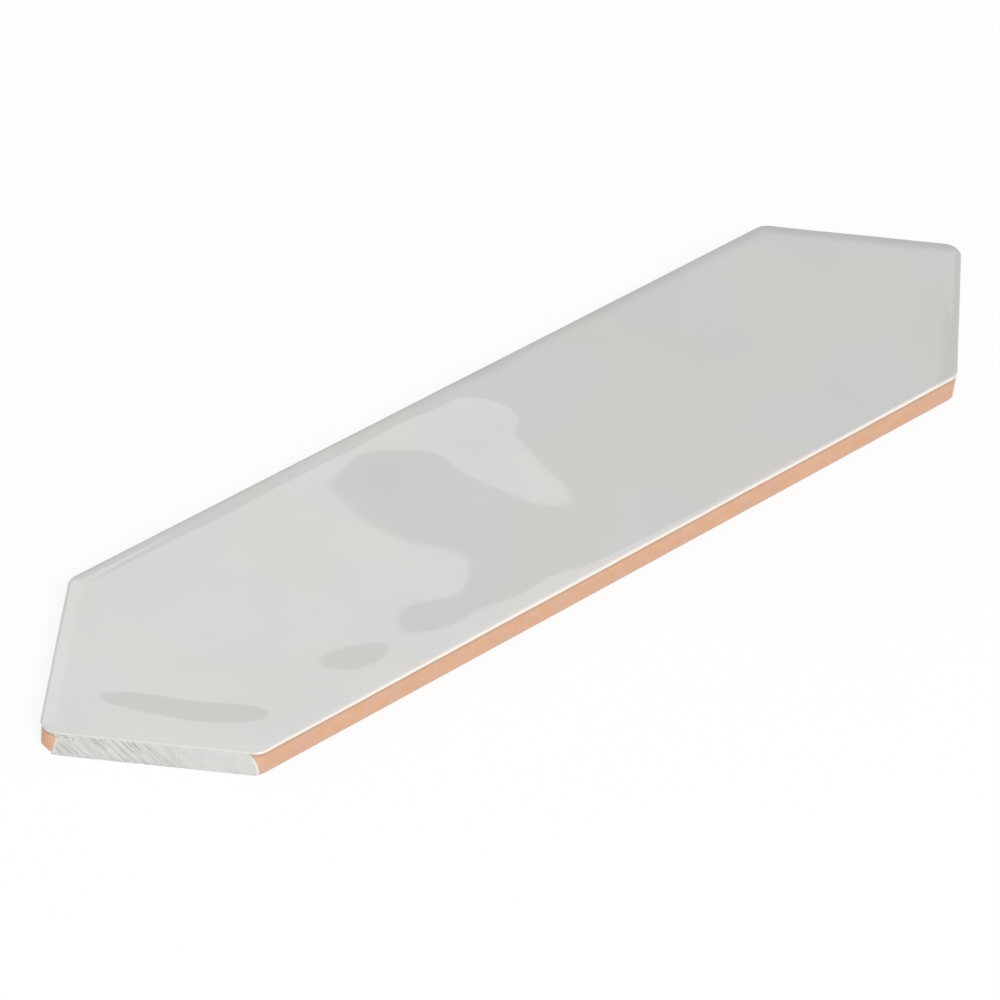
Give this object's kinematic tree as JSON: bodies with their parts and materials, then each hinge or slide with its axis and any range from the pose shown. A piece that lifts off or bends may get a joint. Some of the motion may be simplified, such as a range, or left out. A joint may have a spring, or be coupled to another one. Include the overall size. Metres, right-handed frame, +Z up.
{
  "type": "picket tile",
  "caption": "Long hexagonal wall tile with pointed ends: a terracotta body under a pale grey, softly waved gloss glaze.",
  "frame": {"origin": "middle of the flat back, on the surface that the tile lies on", "axes": "+X along the tile from one pointed end to the other, +Y across it, +Z up out of the glazed face"},
  "size_m": [0.3, 0.075, 0.0085],
  "materials": {
    "clay": "matte",
    "glaze": "gloss"
  },
  "bodies": {
    "root": {"clay_body": "clay", "glaze": "glaze"}
  },
  "joints": []
}
